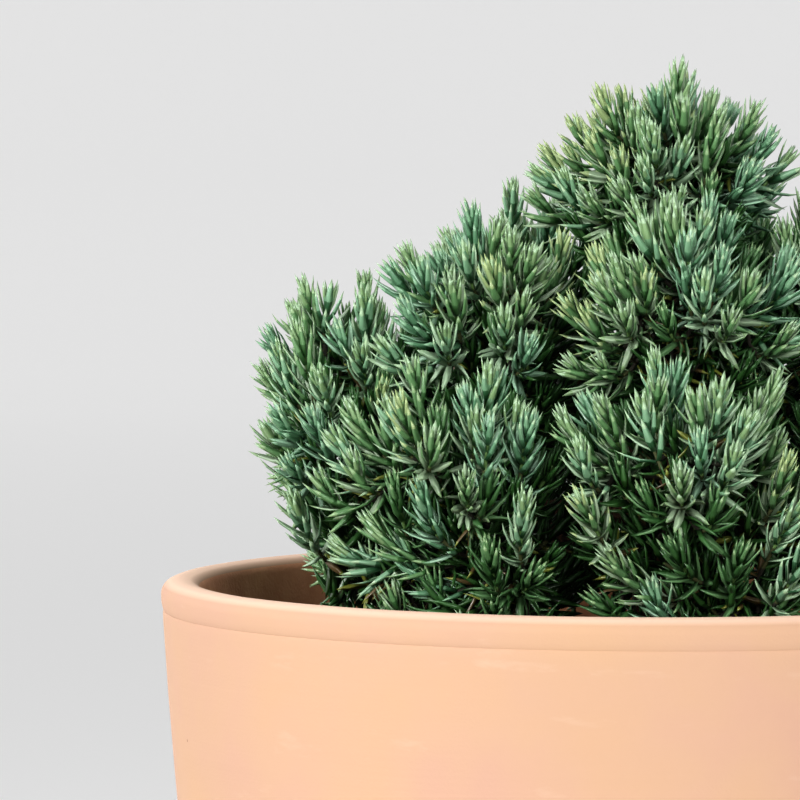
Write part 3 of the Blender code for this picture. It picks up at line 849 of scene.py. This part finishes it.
def findLight(shoots):  # how much of the sky the end of each shoot sees between the others
    g = growth
    ends = np.array([shoot["line"][-1] for shoot in shoots])
    middles = np.array([shoot["line"][-3] for shoot in shoots])
    gaps = np.concatenate([ends, middles])[None] - ends[:, None]
    squares = (gaps ** 2).sum(axis=2)
    seen = np.zeros(len(ends))
    for i in range(g["skyRays"]):
        height = 1 - (1 - g["lowestRay"]) * (i + 0.5) / g["skyRays"]
        ray = polar(math.sqrt(1 - height * height), i * goldenAngle, height)
        along = gaps @ np.array(ray)
        hides = (along > g["shadeStart"]) & (squares - along ** 2 < g["shadeWidth"] ** 2)
        seen += ~hides.any(axis=1)
    for shoot, share in zip(shoots, seen / g["skyRays"]):
        shoot["light"] = share


# Juniper needles: awl-shaped, waxy, green below with a pale bloom above.
# Plain colours, dealt out by shoot and by age, and darker without bloom where a shoot sees little sky: painted shade.
needleColours = {
    "blueDark": "#365f40",
    "blue": "#5a8364",
    "bluePale": "#7aa180",
    "greenDark": "#3d6338",
    "green": "#608659",
    "leafGreen": "#809d70",
    "yellowGreen": "#94a775",
    "pointPale": "#98b490",
    "pointYellow": "#a2b57f",
    "shade": "#1d3a13",
    "dark": "#355b2d",
    "old": "#79803a",
    "dry": "#5f5033",
    "bloomBlue": "#94b79c",
    "bloomPale": "#a4bf9f",
    "bloomGreen": "#97ad8e",
    "bloomTip": "#9fbb93",
}
needleSlots = {name: i for i, name in enumerate(needleColours)}
# of the 16 faces of a needle: 0 foot, 1 middle and 2 point below, 3 above; below, a needle is darker at its foot than
# at its point, as painted shade towards the twig
needleParts = np.array([3, 3, 0, 0, 0, 0, 3, 3, 1, 1, 1, 1, 2, 2, 2, 0])
# the colours of those parts, on grown and on young needles
sprayKinds = {
    "blue": ("blueDark blue bluePale bloomBlue", "blue bluePale pointPale bloomBlue"),
    "frosted": ("blueDark bluePale pointPale bloomPale", "bluePale leafGreen pointPale bloomTip"),
    "green": ("greenDark green leafGreen bloomGreen", "green leafGreen pointPale bloomGreen"),
    "fresh": ("greenDark green yellowGreen bloomGreen", "leafGreen yellowGreen pointYellow bloomTip"),
    # the last two are painted shade, for shoots that see little of the sky
    "shade": ("dark greenDark greenDark green", "greenDark green leafGreen green"),
    "heart": ("shade dark dark dark", "dark dark greenDark greenDark"),
}
oldKinds = ("old old old old", "shade shade shade shade", "dry dry old dry", "dark dark dark dark")


def needleMaterials():
    materials = []
    for name, colour in needleColours.items():
        made, tree, shader = newMaterial("needle" + name[0].upper() + name[1:], colour, 0.34)
        shader.inputs["Specular IOR Level"].default_value = 0.6
        materials.append(made)
    return materials


def needleFaces():  # between three sections of three corners, then the point and the foot
    faces = []
    for s in (0, 3):
        for a, b in ((0, 1), (1, 2), (2, 0)):
            faces += [(s + a, s + b, s + 3 + b), (s + a, s + 3 + b, s + 3 + a)]
    return np.array(faces + [(6, 7, 9), (7, 8, 9), (8, 6, 9), (0, 2, 1)])


def needleCorners(root, direction, inward, length, width, curl):
    # corner 0 left, 1 right, 2 keel, on each section; the upper face looks inward, to the twig's tip
    side = np.cross(direction, inward)
    points = np.zeros((len(root), 10, 3))
    for k, (share, wide, deep) in enumerate(needleShape["sections"]):
        middle = root + direction * (length * share)[:, None] + inward * (curl * length * share ** 2)[:, None]
        half = (width * length * wide)[:, None]
        depth = (needleShape["thickness"] * length * deep)[:, None]
        points[:, 3 * k] = middle - side * half + inward * depth * 0.5
        points[:, 3 * k + 1] = middle + side * half + inward * depth * 0.5
        points[:, 3 * k + 2] = middle - inward * depth
    points[:, 9] = root + direction * length[:, None] + inward * (curl * length)[:, None]
    return points


def clearOfRim(needles):  # which of them don't go into the pot or the soil
    tips = needles[:, [5, 8, 9]]
    above, inside = needleShape["rimClearance"]
    hits = tips[..., 2] < rimHeight + above
    hits &= np.hypot(tips[..., 0], tips[..., 1]) > potShape["rimInnerRadius"] - inside
    hits |= tips[..., 2] < rimHeight - soilShape["trunkDrop"] + needleShape["soilClearance"]
    return ~hits.any(axis=1)


def sprayKind(draw, shoot):
    # painted shade: shoots that see little of the sky get the dark kinds
    if shoot["light"] < growth["heartShare"]:
        return sprayKinds["heart"]
    if shoot["light"] < growth["shadeShare"]:
        return sprayKinds["shade"]
    place = noise.noise(shoot["line"][-1] * 26) * 1.5 + draw.gauss(0, 0.38)
    return sprayKinds["blue" if place < -0.35 else "frosted" if place < 0.0 else "green" if place < 0.70 else "fresh"]


def plumeLean(age):  # degrees from the twig: a narrow plume over a collar of level needles
    n = needleShape
    return n["youngLean"] + n["collarLean"] * (min(1.0, age / 0.50) + max(0.0, (age - 0.50) / 0.50) ** 1.2)


def spray(shoot, draw):  # the corners of its needles, and the materials of their faces
    n = needleShape
    line, leafy = shoot["line"], shoot["leafy"]
    steps = [(line[i + 1] - line[i]).length for i in range(len(line) - 1)]
    total = sum(steps)

    def at(distance):  # a point on the twig and its direction there
        for i, step in enumerate(steps):
            if distance <= step or i == len(steps) - 1:
                return line[i].lerp(line[i + 1], distance / step), (line[i + 1] - line[i]).normalized()
            distance -= step

    grownInk, youngInk = sprayKind(draw, shoot)
    dark = shoot["light"] < growth["heartShare"]
    needles, inks = [], []
    phase = draw.uniform(0, 2 * math.pi)
    vigour, openness = draw.uniform(*n["vigour"]), draw.uniform(*n["openness"])
    distance = total
    whorl = 0
    while distance > n["bareFoot"]:
        fromTip = total - distance
        age = min(1.0, fromTip / leafy)
        old = fromTip > leafy
        point, axis = at(distance)
        side, other = crossAxes(axis)
        lean = draw.uniform(*n["oldLean"]) if old else plumeLean(age) * openness
        long = n["length"] * vigour * mix(n["youngLength"], 1.0, min(1.0, age * 3.5))
        if age > 0.85:
            long *= n["lastLength"]
        for k in range(3):
            if old and draw.random() < n["oldLost"]:
                continue
            a = phase + math.radians(n["twist"]) * whorl + 2 * math.pi * k / 3 + draw.gauss(0, n["twistScatter"])
            outward = math.cos(a) * side + math.sin(a) * other
            tilt = math.radians(lean + draw.gauss(0, n["leanScatter"]))
            needles.append((
                point + outward * n["socket"],
                math.cos(tilt) * axis + math.sin(tilt) * outward,
                math.sin(tilt) * axis - math.cos(tilt) * outward,
                long * draw.uniform(*n["lengthShares"]),
                n["halfWidth"] * draw.uniform(*n["widthShares"]),
                draw.uniform(*n["curl"]) * min(1.0, 0.15 + age * 1.8),
            ))
            if old:
                ink = draw.choice(oldKinds)
            else:
                ink = youngInk if age < draw.uniform(0.10, 0.34) else grownInk
            inks.append([needleSlots[name] for name in ink.split()])
        whorl += 1
        if fromTip > leafy + n["oldStretch"]:
            break
        crowding = mix(*n["whorlShares"], min(1.0, age * 2.0)) * (n["darkShare"] if dark else 1.0)
        distance -= n["oldStep"] if old else n["whorlStep"] * crowding
    corners = needleCorners(*(np.array(column) for column in zip(*needles)))
    keep = clearOfRim(corners)
    return corners[keep], np.array(inks)[keep][:, needleParts]


def makeNeedles(name, mass, shoots, materials):
    draw = random.Random(mass["name"] + " needles")
    points, slots = zip(*[spray(shoot, draw) for shoot in shoots])
    needles = np.concatenate(points)
    faces = needleFaces()[None] + 10 * np.arange(len(needles))[:, None, None]
    meshPiece(name, [needles.reshape(-1, 3)], [faces.reshape(-1, 3)], [np.concatenate(slots).ravel()],
              materials, [mass["name"]])
    return len(needles)


twigShape = {
    "sides": 5,
    "leaderRadius": 0.0012,
    "shootRadius": 0.0008,
    "tipRadius": 0.0004,
    "brownShare": 0.3,  # of a twig's length, then olive, then green
    "oliveShare": 0.5,
    "stemSides": 8,
    "stemRadii": [0.0021, 0.0019, 0.0017, 0.0012],
}


def twigTube(line, radii, sides, tints):  # its corners, its faces and their materials
    count = len(line)
    corners, faces, inks = [], [], []
    for i, place in enumerate(line):
        ahead = (line[min(i + 1, count - 1)] - line[max(i - 1, 0)]).normalized()
        side, other = crossAxes(ahead)
        angles = [2 * math.pi * k / sides for k in range(sides)]
        corners += [place + radii[i] * (math.cos(a) * side + math.sin(a) * other) for a in angles]
    for i in range(count - 1):
        for k in range(sides):
            a, b = i * sides + k, i * sides + (k + 1) % sides
            faces += [(a, b, b + sides), (a, b + sides, a + sides)]
            inks += [tints[i], tints[i]]
    last = (count - 1) * sides
    for k in range(1, sides - 1):
        faces += [(0, k + 1, k), (last, last + k, last + k + 1)]
        inks += [tints[0], tints[-1]]
    return np.array(corners), np.array(faces), np.array(inks)


def woodMaterials():
    # Young juniper wood: rusty brown skin, olive where it still carries green needles
    looks = (("twigBrown", "#262318", 0.85), ("twigOlive", "#474a2a", 0.8), ("twigGreen", "#5c7844", 0.6))
    return [newMaterial(*look)[0] for look in looks]


def makeTwigs(name, mass, shoots, materials):
    t = twigShape
    centre = mass["centre"]
    stem = [mass["stemFoot"], mass["stemFoot"] + mass["stemAxis"] * crown["stemStraight"], centre,
            centre + mass["axis"] * crown["stemRise"] * mass["reach"]]
    tubes = [twigTube(stem, t["stemRadii"], t["stemSides"], [0, 0, 0, 1])]
    for shoot in shoots:
        line = shoot["line"][::2] + shoot["line"][-1:]
        count = len(line)
        thick = t["leaderRadius"] if shoot["main"] else t["shootRadius"]
        radii = [mix(thick, t["tipRadius"], i / (count - 1)) for i in range(count)]
        tints = [(i >= count * t["brownShare"]) + (i >= count * t["oliveShare"]) for i in range(count)]
        tubes.append(twigTube(line, radii, t["sides"], tints))
    points, faces, slots = zip(*tubes)
    offsets = np.cumsum([0] + [len(corners) for corners in points])
    triangles = [tube + offset for tube, offset in zip(faces, offsets)]
    return meshPiece(name, points, triangles, slots, materials, [])


def makeCrown(masses, stretches):
    skins, wood = needleMaterials(), woodMaterials()
    taken, grown = [], []
    for mass in masses:
        leaders = growLeaders(mass, stretches, taken)
        sides = growSides(mass, leaders, stretches, taken)
        grown.append(leaders + sides + growFine(mass, leaders, stretches, taken))
    findLight([shoot for shoots in grown for shoot in shoots])
    needles = triangles = 0
    for mass, shoots in zip(masses, grown):
        needles += makeNeedles(mass["pieces"].format("Needles"), mass, shoots, skins)
        triangles += makeTwigs(mass["pieces"].format("Twigs"), mass, shoots, wood)
    print(f"crown: {sum(map(len, grown))} shoots, {needles} needles, {needles * 16 + triangles} triangles")


# studio: a pale sweep all round, soft lamps, and the camera

studio = {
    "sweep": [(7.0, 1.7), (6.9, 1.05), (6.7, 0.55), (6.3, 0.22), (5.8, 0.05), (5.2, 0.0)],  # radii and heights
    "sweepSides": 128,
    "paper": "#e4e4e4",
    "glow": (0.15, 0.265),  # on the floor by the pot and up the sweep
    "glowReach": (1.0, 5.5),
    "sky": 0.55,
    "lampSize": 1.5,
    "lampSpread": 32.0,
    "lampDistance": 2.6,
    "lampTarget": Vector((0.0, 0.0, 0.27)),
    # azimuth, elevation and power
    "lamps": {"key": (-38.0, 19.0, 4.1), "side": (-100.0, 22.0, 2.3),
              "front": (24.0, 16.0, 2.3), "back": (-152.0, 38.0, 1.0)},
    "sensor": 36.0,
    "lens": 7062.4 / 800,  # sensor widths, from the photo's pixels
    "distance": 2.0,
    "elevation": 3.061,
    "target": Vector((-0.0723, 0.0, 0.29035)),
}


def aim(obj, target, azimuth, elevation, distance):  # from a place around the target
    a, e = math.radians(azimuth), math.radians(elevation)
    place = target + Vector((math.sin(a) * math.cos(e), -math.cos(a) * math.cos(e), math.sin(e))) * distance
    obj.location = place
    obj.rotation_euler = (target - place).to_track_quat("-Z", "Y").to_euler()


def paperMaterial():
    # Seamless paper: matt and almost white, a little self-lit so that it stays even
    paper, tree, shader = newMaterial("seamlessPaper", studio["paper"], 0.95)
    shader.inputs["Emission Color"].default_value = hexColour(studio["paper"])
    shader.inputs["Specular IOR Level"].default_value = 0.0
    place = addNode(tree, "ShaderNodeTexCoord", {}, {}).outputs["Object"]
    away = addNode(tree, "ShaderNodeVectorMath", {"operation": "LENGTH"}, {0: place})
    near, far = studio["glowReach"]
    glow = addNode(tree, "ShaderNodeMapRange", {"From Min": near, "From Max": far, "To Min": studio["glow"][0],
                                                "To Max": studio["glow"][1]}, {"Value": away.outputs["Value"]})
    tree.links.new(glow.outputs["Result"], shader.inputs["Emission Strength"])
    return paper


def makeStudio():
    s = studio
    floor = turnOnWheel(s["sweep"], s["sweepSides"])  # open to the sky
    bpy.ops.mesh.edge_face_add()
    closeMesh(True)
    floor.name = "paperSweep"
    bpy.ops.object.shade_smooth()
    floor.data.materials.append(paperMaterial())

    world = bpy.data.worlds.new("studioAir")
    bpy.context.scene.world = world
    world.use_nodes = True
    world.node_tree.nodes["Background"].inputs["Color"].default_value = (s["sky"], s["sky"], s["sky"], 1)

    for name, (azimuth, elevation, power) in s["lamps"].items():
        bpy.ops.object.light_add(type="AREA")
        lamp = bpy.context.object
        lamp.name = name + "Softbox"
        lamp.data.shape = "DISK"
        lamp.data.size = s["lampSize"]
        lamp.data.spread = math.radians(s["lampSpread"])
        lamp.data.energy = power
        lamp.visible_camera = False
        aim(lamp, s["lampTarget"], azimuth, elevation, s["lampDistance"])

    bpy.ops.object.camera_add()
    camera = bpy.context.object
    camera.name = "photoCamera"
    camera.data.sensor_width = s["sensor"]
    camera.data.lens = s["lens"] * s["sensor"]
    aim(camera, s["target"], 0.0, s["elevation"], s["distance"])
    bpy.context.scene.camera = camera
    bpy.context.scene.view_settings.view_transform = "Standard"
    bpy.context.scene.view_settings.look = "Medium High Contrast"


makeStudio()
print("studio is up")
makePot()
print("pot is thrown")
makeSoil()
makeChips()
print("pot is filled")
crownMasses = layOutMasses()
makeLimbs(crownMasses)
print("limbs are grown")
makeCrown(crownMasses, limbStretches(crownMasses))
